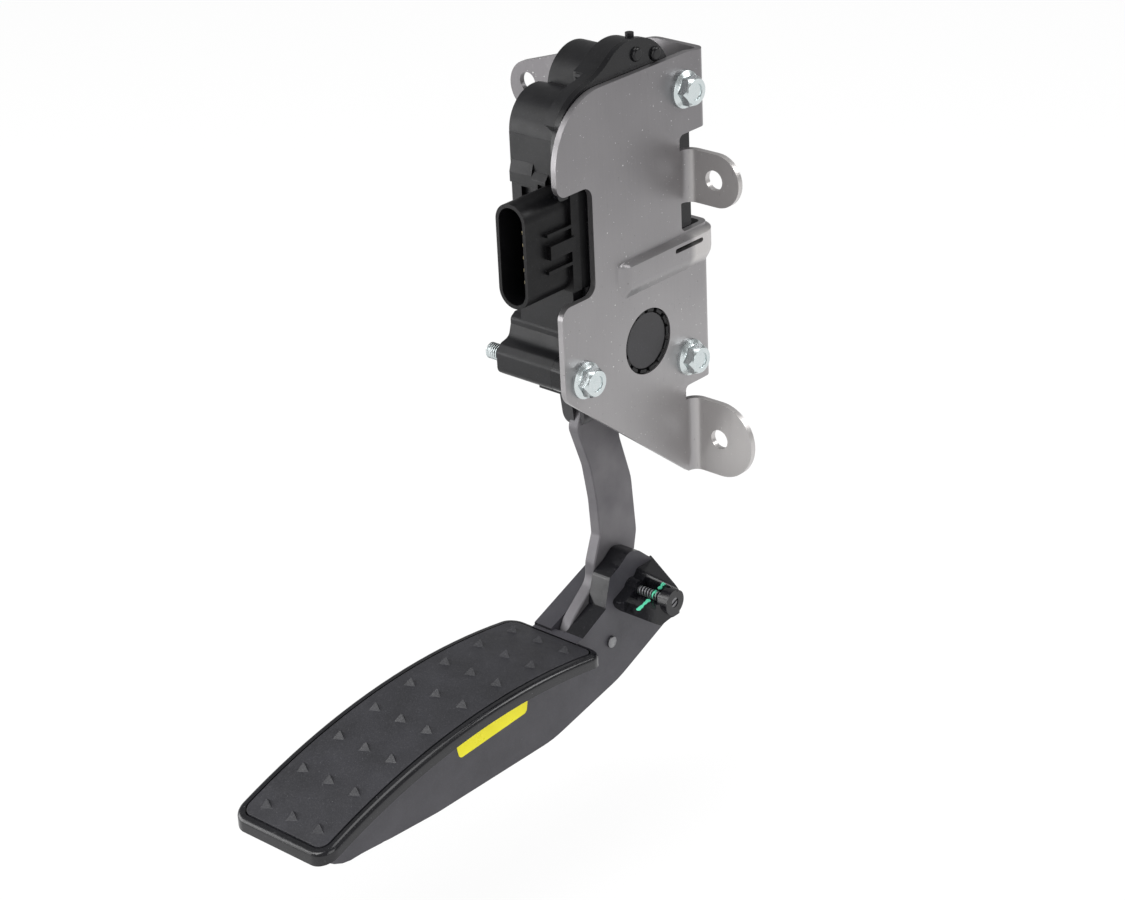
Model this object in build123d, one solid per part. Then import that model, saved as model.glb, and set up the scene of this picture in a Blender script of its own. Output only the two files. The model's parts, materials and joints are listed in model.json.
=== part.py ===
from build123d import *
from math import atan2, cos, hypot, pi, radians, sin, tan
import os

os.makedirs("parts", exist_ok=True)

# Suspended accelerator pedal, in millimetres. The pieces are drawn about the pedal pivot: the pivot
# axis is X, X = 0 is the outer face of the steel side plate, the housing and the arm lie at minus X,
# +Y points to the firewall and +Z is up. At the end every piece moves so that the origin is the
# centre of the two ear holes, on the face of the ears that lies against the firewall.

# sheet steel bracket
sheet_t = 3.0
bend_in_r = 5.0
flange_bend_in_r = 2.0
plate_top_z = 133.4
flange_top_z = 132.2
flange_shoulder = 8.0
plate_front_y = -59.4
plate_corner_r = 32.0
cutout_top_z = 89.0
cutout_bottom_z = 35.8
cutout_back_y = -35.8
cutout_tip_r = 6.0
cutout_in_r = 6.0
lower_front_z = -9.8
lower_front_r = 10.0
pivot_hole_r = 16.3
flange_rear_y = 47.6
relief_end_y = 26.8
upper_notch_top_z = 94.5
lower_edge_top_z = 46.4
relief_bottom_z = -33.3
lip_in_x = -17.0

# ears that bend outward to the firewall bolts
ear_rear_y = 35.3
ear_hole_r = 5.0
ear_hole_x = 15.6
ear_hole_pitch = 133.6
ear_mid_z = 74.0
ear_mid_r = 13.1
ear_mid_end_x = 30.3
ear_low_z = -59.7
ear_low_r = 19.2
ear_low_end_x = 35.4

# ear at the end of the flange that crosses behind the housing
left_ear_x = -109.5
left_ear_z = 93.0
left_ear_r = 13.2
left_hole_x = -111.2
left_hole_z = 95.1
flange_slope = 0.32

# stiffening bead pressed outward round the rear corner
bead_top_z = 45.8
bead_bottom_z = 23.5
bead_top_flank = 2.4
bead_low_flank = 10.8
bead_h = 4.0
bead_front_y = -23.0
bead_run = 8.0
bead_bite = 1.0
bead_bend_r = 3.0
bead_levels = 6
bead_slot_y0 = 17.2
bead_slot_y1 = 37.6
bead_slot_z = 40.6
bead_slot_h = 2.3

# flange bolts through plate and housing
bolt_r = 4.0
bolt_len = 59.8
bolt_af = 13.0
bolt_flange_r = 9.0
bolt_flange_h = 1.6
bolt_head_h = 8.0
bolt_clear = 0.4
sleeve_r = 5.2
front_bolt_y = -46.2
front_bolt_z = -3.2
rear_bolt_y = 29.7
rear_bolt_z = -18.5
top_bolt_y = 30.8
top_bolt_z = 116.4

# moulded housing
body_left_x = -41.5
block_left_x = -48.0
lobe_step_x = -12.8
rear_step_x = -18.5
seam_x = -6.5
block_seam_x = -14.0
block_top_z = 17.4
case_right_x = -3.3
front_lobe_y = -26.1
front_lobe_z = 109.3
front_lobe_r = 18.1
rear_lobe_y = 1.8
rear_lobe_z = 121.3
rear_lobe_r = 19.0
case_rear_y = 38.0
case_front_y = -44.3
block_front_y = -40.0
nose_r = 7.6

# cover rim round the two lobes, and the body's collar beside it
rim_front_y = -28.4
rim_front_z = 108.4
rim_front_r = 26.8
rim_rear_y = -0.5
rim_rear_z = 121.7
rim_rear_r = 26.3
rim_join_r = 40.0
collar_front_in = 0.5
collar_rear_in = 1.5
stud_r = 3.5
stud_h = 1.6
nub_r = 2.05
nub_y = 3.4
nub_top_z = 149.4
ledge_z = 90.9
ledge_step_x = -27.4
ledge_end_x = -18.5
collar_end_z = 120.0
boss_r = 6.1

# room inside the housing
hub_room_r = 21.0
room_left_x = -40.5
room_front_y = -28.5
room_rear_y = 22.3
spring_y = 23.5
spring_room_r = 9.4
spring_top_z = 92.0
lever_room_top_z = 17.0
lever_room_rear_y = 33.0
lever_room_bottom_z = -10.5

# connector
plug_x = -14.7
plug_z = 63.8
plug_w = 18.0
plug_h = 50.6
plug_wall = 1.9
plug_rim_y = -75.0
plug_floor_y = -52.0
plug_flange_t = 4.0
pin_count = 6
pin_pitch = 6.0
pin_size = 1.5
board_y = -33.0
board_t = 1.6
board_low_z = 8.0

# hub, shaft and bearings
arm_mid_x = -29.0
arm_t = 6.35
hub_r = 16.0
hub_w = 16.0
shaft_r = 9.0
shaft_left_x = -43.5
disc_r = 13.8
disc_x = -1.4
cap_r = 16.0
cap_in_r = 14.2
cap_face_x = -0.7
cap_lugs = 14
bush_t = 1.6
run_gap = 0.05
rest_gap = 0.3
side_gap = 0.5
tongue_w = 14.0
tongue_front_y = -25.0
tongue_low_z = -45.2
tongue_slot_x = -24.6
stop_top_z = -9.5
stop_low_z = -18.5
lever_w = 12.0
lever_top_z = 3.0
magnet_h = 3.2
magnet_lean = 50.0

# return springs
seat_r = 7.3
seat_t = 2.4
outer_wire_r = 1.1
outer_coil_r = 6.9
outer_turns = 8
inner_wire_r = 0.7
inner_coil_r = 4.0
inner_turns = 9

# treadle
pad_w = 62.0
pad_front_y = -234.6
pad_rear_y = -41.5
pad_arc_r = 345.0
pad_apex_y = -107.0
pad_apex_z = -143.6
pad_t = 8.2
pad_round = 2.6
pad_corner_r = 9.0
mat_w = 52.4
mat_inset = 3.0
mat_depth = 2.2
mat_groove = 0.9
bump_rows = 8
bump_pitch_x = 16.9
bump_first_y = -223.4
bump_last_y = -56.0
bump_h = 2.5
bump_side = 6.1
bump_turn = 23.0
beam_w = 29.0
beam_rear_y = 25.6
pin_out = 1.4
slot_gap = 0.3
tread_pin_r = 3.0
tread_pin_y = -19.1
tread_pin_z = -158.9

# trim screw that bears on the arm
screw_y = -2.8
screw_z = -134.8
screw_r = 2.5
collar_r = 6.7
collar_x0 = 8.4
collar_x1 = 14.1
wing_slope = 0.42
wing_over = 1.6
wing_front = 13.0
nut_r = 5.0
nut_x0 = -8.0

# label
label_t = 0.2

fillet_share = 0.98


def rounded(points):
    """Closed outline of straight runs with a round at each corner; points are (u, v, radius).

    Where two rounds want more than the run between them, they share it by what each wants.
    """
    count = len(points)
    ways = []
    for i in range(count):
        x0, y0 = points[i - 1][:2]
        x1, y1 = points[i][:2]
        x2, y2 = points[(i + 1) % count][:2]
        r = points[i][2] if len(points[i]) > 2 else 0.0
        la = hypot(x0 - x1, y0 - y1)
        lb = hypot(x2 - x1, y2 - y1)
        ax, ay = (x0 - x1) / la, (y0 - y1) / la
        bx, by = (x2 - x1) / lb, (y2 - y1) / lb
        turn = abs(atan2(ax * by - ay * bx, ax * bx + ay * by))
        want = 0.0 if r <= 0 or turn > pi - 0.02 else r / tan(turn / 2)
        ways.append((x1, y1, ax, ay, bx, by, la, lb, turn, want))
    cuts = []
    for i in range(count):
        x1, y1, ax, ay, bx, by, la, lb, turn, want = ways[i]
        if want == 0.0:
            cuts.append(((x1, y1), None, (x1, y1)))
            continue
        before = ways[i - 1][9]
        after = ways[(i + 1) % count][9]
        room_a = fillet_share * la * want / (want + before)
        room_b = fillet_share * lb * want / (want + after)
        reach = min(want, room_a, room_b)
        r_used = reach * tan(turn / 2)
        start = (x1 + ax * reach, y1 + ay * reach)
        end = (x1 + bx * reach, y1 + by * reach)
        mx, my = ax + bx, ay + by
        size = hypot(mx, my)
        deep = hypot(reach, r_used) - r_used
        cuts.append((start, (x1 + mx / size * deep, y1 + my / size * deep), end))
    edges = []
    for i in range(count):
        start, middle, end = cuts[i]
        if middle is not None:
            edges.append(ThreePointArc(start, middle, end))
        after = cuts[(i + 1) % count][0]
        if hypot(after[0] - end[0], after[1] - end[1]) > 1e-6:
            edges.append(Line(end, after))
    return make_face(edges)


def disc(u, v, r):
    """Round sketch of radius r at (u, v)."""
    return Pos(u, v, 0) * Circle(r)


def along_x(sketch, x0, x1):
    """Prism of a (Y, Z) sketch between two X stations."""
    return extrude(Plane.YZ.offset(min(x0, x1)) * sketch, amount=abs(x1 - x0))


def along_z(sketch, z0, z1):
    """Prism of an (X, Y) sketch between two Z stations."""
    return extrude(Plane.XY.offset(min(z0, z1)) * sketch, amount=abs(z1 - z0))


def along_y(sketch, y0, y1):
    """Prism of an (X, Z) sketch between two Y stations."""
    plane = Plane(origin=(0, max(y0, y1), 0), x_dir=(1, 0, 0), z_dir=(0, -1, 0))
    return extrude(plane * sketch, amount=abs(y1 - y0))


def rod_x(y, z, r, x0, x1):
    """Round bar along X."""
    return along_x(disc(y, z, r), x0, x1)


def rod_z(x, y, r, z0, z1):
    """Round bar along Z."""
    return along_z(disc(x, y, r), z0, z1)


def box_between(x0, x1, y0, y1, z0, z1):
    """Box between six planes."""
    size = Box(abs(x1 - x0), abs(y1 - y0), abs(z1 - z0))
    return Pos((x0 + x1) / 2, (y0 + y1) / 2, (z0 + z1) / 2) * size


bolt_places = (
    (front_bolt_y, front_bolt_z),
    (rear_bolt_y, rear_bolt_z),
    (top_bolt_y, top_bolt_z),
)
bend_out_r = bend_in_r + sheet_t
flange_front_y = flange_rear_y - sheet_t
ear_front_y = ear_rear_y - sheet_t
ear_bend_y = ear_rear_y - bend_out_r
flange_out_r = flange_bend_in_r + sheet_t
flange_bend_y = flange_rear_y - flange_out_r
low_hole_z = ear_mid_z - ear_hole_pitch


def bend_round(cx, cy, r, start):
    """Points of a quarter arc for a bend, given in degrees from its start."""
    a = radians(start)
    b = radians(start + 45)
    c = radians(start + 90)
    return [(cx + r * cos(t), cy + r * sin(t)) for t in (a, b, c)]


def outward_profile(end_x):
    """Section of a plate edge that bends to plus X behind an ear."""
    inner = bend_round(bend_in_r, ear_bend_y, bend_in_r, 90)
    outer = bend_round(bend_in_r, ear_bend_y, bend_out_r, 90)
    edges = [
        Line(outer[2], inner[2]),
        ThreePointArc(inner[2], inner[1], inner[0]),
        Line(inner[0], (end_x, ear_front_y)),
        Line((end_x, ear_front_y), (end_x, ear_rear_y)),
        Line((end_x, ear_rear_y), outer[0]),
        ThreePointArc(outer[0], outer[1], outer[2]),
    ]
    return make_face(edges)


def inward_profile(end_x, grow, start_y):
    """Section of a plate edge that bends to minus X, its outer face moved out by grow."""
    outer = bend_round(-flange_out_r, flange_bend_y, flange_out_r + grow, 0)
    inner = bend_round(-flange_out_r, flange_bend_y, flange_bend_in_r, 0)
    edges = [
        Line((-sheet_t, start_y), (grow, start_y)),
        Line((grow, start_y), outer[0]),
        ThreePointArc(outer[0], outer[1], outer[2]),
        Line(outer[2], (end_x, flange_rear_y + grow)),
        Line((end_x, flange_rear_y + grow), (end_x, flange_front_y)),
        Line((end_x, flange_front_y), inner[2]),
        ThreePointArc(inner[2], inner[1], inner[0]),
        Line(inner[0], (-sheet_t, start_y)),
    ]
    return make_face(edges)


def ear_blank(hole_z, mid_z, r, end_x, top_z, bottom_z):
    """Outward ear with a round end and one bolt hole."""
    blank = along_z(outward_profile(end_x + r), bottom_z, top_z)
    centre_x = end_x - r
    shape = disc(centre_x, mid_z, r) + rounded([
        (-sheet_t - 1, bottom_z),
        (centre_x, bottom_z),
        (centre_x, top_z),
        (-sheet_t - 1, top_z),
    ])
    ear = blank & along_y(shape, relief_end_y - sheet_t, ear_rear_y + 1)
    return ear - along_y(disc(ear_hole_x, hole_z, ear_hole_r), ear_front_y - 1, ear_rear_y + 1)


def cross_flange():
    """Flange behind the housing that slopes down to the left ear."""
    blank = along_z(inward_profile(left_ear_x - left_ear_r, 0, flange_bend_y - 1), 60, flange_top_z)
    lean = atan2(flange_slope, 1)
    nx, nz = -sin(lean) * left_ear_r, cos(lean) * left_ear_r
    tx, tz = left_ear_x + nx, left_ear_z + nz
    bx, bz = left_ear_x - nx, left_ear_z - nz
    knee_x = bx + (upper_notch_top_z - bz) / flange_slope
    top_x = tx + (flange_top_z - tz) / flange_slope
    band = rounded([
        (tx, tz),
        (bx, bz),
        (knee_x, upper_notch_top_z, 25),
        (1, upper_notch_top_z),
        (1, flange_top_z),
        (top_x, flange_top_z, 25),
    ])
    flange = blank & along_y(band + disc(left_ear_x, left_ear_z, left_ear_r), flange_bend_y - 2, flange_rear_y + 1)
    return flange - along_y(disc(left_hole_x, left_hole_z, ear_hole_r), flange_front_y - 1, flange_rear_y + 1)


def bead_section(base, height, front_y, run):
    """Plan of the bead at one level: a strip along the bent sheet between two offsets."""
    start_y = front_y + run
    widen = bead_bend_r * (height - base) / (bead_h + bead_bite)
    far = bend_round(-flange_out_r - widen, flange_bend_y - widen, flange_out_r + widen + height, 0)
    near = bend_round(-flange_out_r, flange_bend_y, flange_out_r + base, 0)
    quarter = (base + (height - base) * 0.15, front_y + run * 0.25)
    half = (base + (height - base) * 0.5, front_y + run * 0.5)
    three = (base + (height - base) * 0.85, front_y + run * 0.75)
    edges = [
        ThreePointArc((base, front_y), quarter, half),
        ThreePointArc(half, three, (height, start_y)),
        Line((height, start_y), far[0]),
        ThreePointArc(far[0], far[1], far[2]),
        Line(far[2], (lip_in_x, flange_rear_y + height)),
        Line((lip_in_x, flange_rear_y + height), (lip_in_x, flange_rear_y + base)),
        Line((lip_in_x, flange_rear_y + base), near[2]),
        ThreePointArc(near[2], near[1], near[0]),
        Line(near[0], (base, front_y)),
    ]
    return make_face(edges)


def bead_strip(shrink, drop):
    """Bead as a strip of ruled levels: a long low flank, a flat crest and a short upper flank."""
    base = -bead_bite - flange_bend_in_r / 4 - drop
    low, high = bead_bottom_z + shrink, bead_top_z - shrink * 0.4
    crest_low = bead_bottom_z + bead_low_flank
    crest_high = bead_top_z - bead_top_flank
    stops = []
    for i in range(bead_levels):
        t = i / bead_levels
        stops.append((low + (crest_low - low) * t, (1 - cos(pi * t)) / 2))
    stops.append((crest_low, 1.0))
    stops.append((crest_high, 1.0))
    for i in range(1, bead_levels // 2 + 1):
        t = i / (bead_levels // 2)
        stops.append((crest_high + (high - crest_high) * t, (1 + cos(pi * t)) / 2))
    levels = []
    for z, rise in stops:
        height = -bead_bite + (bead_h + bead_bite) * rise - drop
        run = bead_run * (0.35 + 0.65 * rise)
        levels.append((z, height, bead_front_y + bead_run * 0.7 * (1 - rise) + shrink, run))
    block = None
    for (za, ha, fa, ra), (zb, hb, fb, rb) in zip(levels, levels[1:]):
        lower = Plane.XY.offset(za) * bead_section(base, ha, fa, ra)
        upper = Plane.XY.offset(zb) * bead_section(base, hb, fb, rb)
        piece = loft([lower, upper], ruled=True)
        block = piece if block is None else block + piece
    return block


def mounting_bracket():
    low_ear_top = ear_low_z + ear_low_r
    plate = along_x(rounded([
        (plate_front_y, plate_top_z, plate_corner_r),
        (plate_front_y, cutout_top_z, cutout_tip_r),
        (cutout_back_y, cutout_top_z, cutout_in_r),
        (cutout_back_y, cutout_bottom_z, cutout_in_r),
        (plate_front_y, cutout_bottom_z, cutout_in_r),
        (plate_front_y, lower_front_z, lower_front_r),
        (ear_bend_y, ear_low_z - ear_low_r),
        (ear_bend_y, low_ear_top),
        (relief_end_y, low_ear_top, 1.5),
        (relief_end_y, relief_bottom_z, 2.4),
        (flange_bend_y, relief_bottom_z),
        (flange_bend_y, lower_edge_top_z),
        (relief_end_y, lower_edge_top_z, 3),
        (relief_end_y, ear_mid_z - ear_mid_r, 3),
        (ear_bend_y, ear_mid_z - ear_mid_r),
        (ear_bend_y, ear_mid_z + ear_mid_r),
        (relief_end_y, ear_mid_z + ear_mid_r, 3),
        (relief_end_y, upper_notch_top_z, 3),
        (flange_bend_y, upper_notch_top_z),
        (flange_bend_y, flange_top_z),
        (flange_bend_y - flange_shoulder, plate_top_z, flange_shoulder),
    ]), -sheet_t, 0)
    lip = along_z(inward_profile(lip_in_x, 0, flange_bend_y - 1), relief_bottom_z, lower_edge_top_z)
    mid = ear_blank(ear_mid_z, ear_mid_z, ear_mid_r, ear_mid_end_x, ear_mid_z + ear_mid_r, ear_mid_z - ear_mid_r)
    low = ear_blank(low_hole_z, ear_low_z, ear_low_r, ear_low_end_x, low_ear_top, ear_low_z - ear_low_r)
    bracket = plate + lip + mid + low + cross_flange()
    bracket = bracket + bead_strip(0.0, 0.0)
    bracket = bracket - bead_strip(sheet_t / 2, sheet_t)
    half = bead_slot_h / 2
    bracket = bracket - along_x(rounded([
        (bead_slot_y0, bead_slot_z - half, half),
        (bead_slot_y1, bead_slot_z - half, half),
        (bead_slot_y1, bead_slot_z + half, half),
        (bead_slot_y0, bead_slot_z + half, half),
    ]), -sheet_t - 1, bead_h + 3)
    bracket = bracket - rod_x(0, 0, pivot_hole_r, -sheet_t - 1, 1)
    for y, z in bolt_places:
        bracket = bracket - rod_x(y, z, bolt_r + bolt_clear, -sheet_t - 1, 1)
    return bracket


def flange_bolt(y, z):
    """Hexagon flange bolt along minus X with its flange on the plate."""
    tip = 1.2
    shank = rod_x(y, z, bolt_r, -bolt_len + tip, 0.5)
    point = Pos(-bolt_len + tip / 2, y, z) * Rot(0, 90, 0) * Cone(bolt_r - tip, bolt_r, tip)
    skirt = Pos(bolt_flange_h + 0.7, y, z) * Rot(0, 90, 0) * Cone(bolt_flange_r, bolt_af / 2, 1.4)
    flange = rod_x(y, z, bolt_flange_r, 0, bolt_flange_h)
    hexagon = along_x(Pos(y, z) * RegularPolygon(bolt_af / 2, 6, major_radius=False), 1, bolt_head_h)
    dome = Pos(bolt_head_h - 2.0, y, z) * Rot(0, 90, 0) * Cone(bolt_af / 2 + 2.2, bolt_af / 2 - 0.4, 4.2)
    head = hexagon & (dome + rod_x(y, z, bolt_af, 0, bolt_head_h - 3.5))
    dish = rod_x(y, z, bolt_af * 0.3, bolt_head_h - 0.6, bolt_head_h + 1)
    return shank + point + skirt + flange + head - dish


def flange_bolts():
    return Compound([flange_bolt(y, z).solid() for y, z in bolt_places])


def bolt_sleeves():
    """Steel sleeves that carry the bolt load through the moulding."""
    sleeves = []
    for y, z in bolt_places:
        tube = rod_x(y, z, sleeve_r, block_left_x, case_right_x) - rod_x(y, z, bolt_r + run_gap, block_left_x - 1, 1)
        sleeves.append(tube.solid())
    return Compound(sleeves)


def case_outline():
    """Upper part of the housing seen along the pivot, with its two round lobes."""
    trunk = rounded([
        (case_front_y, plug_z - plug_h, 2),
        (case_front_y, front_lobe_z),
        (front_lobe_y, front_lobe_z),
        (rear_lobe_y, rear_lobe_z),
        (rear_lobe_y + rear_lobe_r * 0.8, rear_lobe_z - rear_lobe_r * 0.1),
        (case_rear_y, top_bolt_z - boss_r - 2, 5),
        (case_rear_y, relief_bottom_z + 20),
    ])
    return trunk + disc(front_lobe_y, front_lobe_z, front_lobe_r) + disc(rear_lobe_y, rear_lobe_z, rear_lobe_r)


def rim_outline(front_in, rear_in):
    """Two discs round the lobes with a hollow fillet between them, set in by two amounts."""
    front_r = rim_front_r - front_in
    rear_r = rim_rear_r - rear_in
    join_r = rim_join_r + (front_in + rear_in) / 2
    dy, dz = rim_rear_y - rim_front_y, rim_rear_z - rim_front_z
    span = hypot(dy, dz)
    ra, rb = front_r + join_r, rear_r + join_r
    along = (ra * ra - rb * rb + span * span) / (2 * span)
    up = (ra * ra - along * along) ** 0.5
    cy = rim_front_y + (dy * along - dz * up) / span
    cz = rim_front_z + (dz * along + dy * up) / span
    web = rounded([(rim_front_y, rim_front_z), (rim_rear_y, rim_rear_z), (cy, cz)])
    discs = disc(rim_front_y, rim_front_z, front_r) + disc(rim_rear_y, rim_rear_z, rear_r)
    return discs + (web - disc(cy, cz, join_r))


def block_outline():
    """Lower part of the housing round the pivot, with the nose for the front bolt."""
    trunk = rounded([
        (block_front_y, block_top_z, 1),
        (front_bolt_y + 3.0, block_top_z - 2.2, 2),
        (front_bolt_y + 3.0, block_top_z - 5.2, 1),
        (front_bolt_y + 1.2, block_top_z - 11.2, 4),
        (front_bolt_y - 4.6, front_bolt_z + 8.0, 3),
        (front_bolt_y - 7.8, front_bolt_z + 4.4, 3),
        (front_bolt_y - 7.8, front_bolt_z - 5.4, 4),
        (front_bolt_y - 2.6, front_bolt_z - 8.8, 4),
        (-36, -17.0, 8),
        (-12, -27.5, 10),
        (12, -31, 10),
        (rear_bolt_y + 2, rear_bolt_z - 8.5, 8),
        (case_rear_y, rear_bolt_z, 5),
        (case_rear_y, block_top_z),
    ])
    return trunk


def hub_room(grow=0.0):
    """Space for the hub, the arm's swing and the lever under the springs."""
    swing = disc(0, 0, hub_room_r + grow) + rounded([
        (room_front_y - grow, stop_top_z + 5.5, 3),
        (room_front_y - grow, -60),
        (room_rear_y + grow, -60),
        (room_rear_y + grow, -12, 4),
        (0, 14),
    ])
    lever = rounded([
        (0, lever_room_bottom_z),
        (lever_room_rear_y, lever_room_bottom_z, 3),
        (lever_room_rear_y, lever_room_top_z),
        (0, lever_room_top_z),
    ])
    return swing + lever


def front_ledge():
    """Sloped ledge and block on the front wall under the front lobe."""
    ledge = along_x(rounded([
        (case_front_y + 2, ledge_z - 5.4),
        (case_front_y - 1.8, ledge_z - 5.4, 0.6),
        (case_front_y - 1.8, ledge_z, 0.6),
        (case_front_y - 0.1, ledge_z + 5.5),
        (case_front_y + 2, ledge_z + 5.5),
    ]), body_left_x + 0.6, ledge_step_x)
    block = along_x(rounded([
        (case_front_y + 2, ledge_z - 12),
        (case_front_y - 2.4, ledge_z - 12, 1),
        (case_front_y - 2.4, ledge_z - 1.0, 1),
        (case_front_y - 0.1, ledge_z + 2.0),
        (case_front_y + 2, ledge_z + 2.0),
    ]), ledge_step_x, ledge_end_x)
    return ledge + block


def housing_body():
    case = case_outline()
    above_block = rounded([(-80, block_top_z), (80, block_top_z), (80, 180), (-80, 180)])
    body = along_x(case, body_left_x, block_seam_x) + along_x(case & above_block, block_seam_x, seam_x)
    keep = rounded([
        (rim_front_y - rim_front_r - 5, collar_end_z + 3),
        (rim_front_y - rim_front_r + 4, collar_end_z),
        (case_front_y, collar_end_z - 7),
        (case_front_y, 92),
        (60, 92),
        (60, 160),
        (rim_front_y - rim_front_r - 5, 160),
    ])
    collars = rim_outline(collar_front_in, collar_rear_in) & keep
    split_y = rim_front_y + 4
    front_half = rounded([(-80, 80), (split_y, 80), (split_y, 160), (-80, 160)])
    body = body + along_x(collars & front_half, lobe_step_x, seam_x)
    body = body + along_x(collars - front_half, rear_step_x, seam_x)
    body = body + along_x(block_outline(), block_left_x, block_seam_x)
    body = body + rod_x(top_bolt_y, top_bolt_z, boss_r, block_left_x, seam_x)
    body = body + along_x(rounded([
        (rear_lobe_y + 10, top_bolt_z - 8),
        (top_bolt_y + 4, top_bolt_z - 8),
        (top_bolt_y + 2, top_bolt_z + 5.5, 2),
        (rear_lobe_y + 14, rear_lobe_z + 6),
    ]), body_left_x, seam_x)
    body = body + front_ledge()
    recess = box_between(body_left_x + 6, ledge_step_x, case_front_y - 2, case_front_y + 2.4, ledge_z - 15, ledge_z - 6.8)
    body = body - recess
    waist = box_between(body_left_x - 1, -12.5, case_front_y - 3, case_front_y + 1.6, plug_z - plug_h - 1, plug_z - plug_h + 22)
    body = body - (waist - along_x(block_outline(), block_left_x - 1, 0))
    skirt = box_between(block_left_x + 12, block_seam_x, room_front_y - 10, room_front_y - 4, -19.5, -10)
    body = body + skirt
    body = body - along_x(hub_room(), room_left_x, block_seam_x + 1)
    body = body - rod_z(arm_mid_x, spring_y, spring_room_r, lever_room_top_z - 2, spring_top_z)
    body = body - rod_x(0, 0, shaft_r + bush_t, shaft_left_x, room_left_x + 1)
    sensor = box_between(-38, seam_x + 1, board_y - 2.6, board_y + 5.4, board_low_z - 1, plug_z + 24)
    body = body - sensor
    body = body - connector_seat()
    body = body + rod_x(split_y + 0.6, rim_rear_z + 13.2, 1.7, lobe_step_x - 4, lobe_step_x + 2)
    nub = rod_z(seam_x - nub_r + 0.2, nub_y, nub_r, rim_rear_z + rim_rear_r - 6, nub_top_z)
    body = body + (nub & box_between(-20, seam_x, -10, 20, 100, 170))
    for y, z in bolt_places:
        body = body - rod_x(y, z, sleeve_r, block_left_x - 1, 1)
    return body


def connector_seat():
    """Opening in the front wall that takes the connector's base."""
    return box_between(
        plug_x - plug_w / 2 + 0.5,
        0,
        case_front_y - 4,
        board_y - 2.5,
        plug_z - plug_h / 2 + 1,
        plug_z + plug_h / 2 - 1,
    )


def cover_outline():
    """Cover rim: two arcs round the lobes with a hollow join, then straight down to the lower block."""
    front_y = rim_front_y - rim_front_r
    upper = rounded([
        (front_y, cutout_top_z - 3, 3),
        (front_y, rim_front_z),
        (rim_front_y, rim_front_z),
        (rim_rear_y, rim_rear_z),
        (rim_rear_y + rim_rear_r * 0.9, rim_rear_z - rim_rear_r * 0.42),
        (case_rear_y, top_bolt_z - boss_r - 4, 3),
        (case_rear_y, cutout_top_z - 3),
    ])
    lower = rounded([
        (block_front_y + 1, cutout_top_z + 2),
        (block_front_y + 1, block_top_z - 5),
        (case_rear_y, block_top_z - 5),
        (case_rear_y, cutout_top_z + 2),
    ])
    return upper + lower + rim_outline(0.0, 0.0)


def housing_cover():
    cover = along_x(cover_outline(), seam_x, case_right_x)
    cover = cover + along_x(block_outline(), block_seam_x, case_right_x)
    cover = cover - along_x(hub_room(-2.0), block_seam_x - 1, case_right_x - 2.6)
    cover = cover - connector_seat()
    cover = cover - box_between(-30, seam_x, board_y - 2.6, board_y + 5.4, board_low_z - 1, plug_z + 24)
    cover = cover - rod_x(0, 0, shaft_r + bush_t, -30, 1)
    for y, z in ((1.5, 140.4), (14.8, 137.2)):
        stud = rod_x(y, z, stud_r, case_right_x - 1, case_right_x + stud_h)
        cover = cover + fillet(stud.edges().sort_by(Axis.X)[-1:], stud_h - 0.1)
    for y, z in bolt_places:
        cover = cover - rod_x(y, z, sleeve_r, block_left_x, 1)
    return cover


def bearing_cap():
    """Notched ring round the shaft end, seated on the cover inside the plate's big hole."""
    ring = rod_x(0, 0, cap_r, case_right_x, cap_face_x) - rod_x(0, 0, cap_in_r, case_right_x - 1, 1)
    for i in range(cap_lugs):
        notch = Pos(0, cap_r - 0.9, 0) * Box(3.0, 2.4, 2.2)
        ring = ring - Rot(360 / cap_lugs * (i + 0.5), 0, 0) * Pos(cap_face_x - 0.6, 0, 0) * notch
    return ring


def connector_housing():
    """Socket for the wiring plug: round ended shroud, base flange, ribs and a latch ramp."""
    def stadium(w, h):
        return rounded([
            (plug_x - w / 2, plug_z - h / 2, w / 2),
            (plug_x + w / 2, plug_z - h / 2, w / 2),
            (plug_x + w / 2, plug_z + h / 2, w / 2),
            (plug_x - w / 2, plug_z + h / 2, w / 2),
        ])
    front = case_front_y - 1.0
    shell = along_y(stadium(plug_w, plug_h), plug_rim_y, front)
    shell = shell - along_y(stadium(plug_w - 2 * plug_wall, plug_h - 2 * plug_wall), plug_rim_y - 1, plug_floor_y)
    base = along_y(rounded([
        (plug_x - plug_w / 2 + 0.5, plug_z - plug_h / 2 + 1),
        (case_right_x - 1.2, plug_z - plug_h / 2 + 1),
        (case_right_x - 1.2, plug_z + plug_h / 2 - 1),
        (plug_x - plug_w / 2 + 0.5, plug_z + plug_h / 2 - 1),
    ]), front, board_y - 2.5)
    right_x = plug_x + plug_w / 2
    flange = box_between(right_x - 4, right_x + 2.2, front - 1.5, front + plug_flange_t, plug_z - plug_h / 2 + 1, plug_z + plug_h / 2 - 1)
    shell = shell + base + flange
    for z in (plug_z + 8.4, plug_z - 9.5):
        shell = shell + box_between(right_x - 1, right_x + 2.2, plug_rim_y + 12, front, z - 0.8, z + 0.8)
    ramp = rounded([
        (plug_rim_y + 13, plug_z - 3.4),
        (plug_rim_y + 13, plug_z + 3.4),
        (front, plug_z + 3.4),
        (front, plug_z - 3.4),
    ])
    wedge = along_x(ramp, right_x - 1, right_x + 3.0)
    shell = shell + wedge
    for x, z in connector_pin_places():
        shell = shell - box_between(x - pin_size / 2, x + pin_size / 2, plug_rim_y, board_y, z - pin_size / 2, z + pin_size / 2)
    return shell


def connector_pin_places():
    half = (pin_count - 1) / 2
    return [(plug_x, plug_z + (i - half) * pin_pitch) for i in range(pin_count)]


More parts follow.
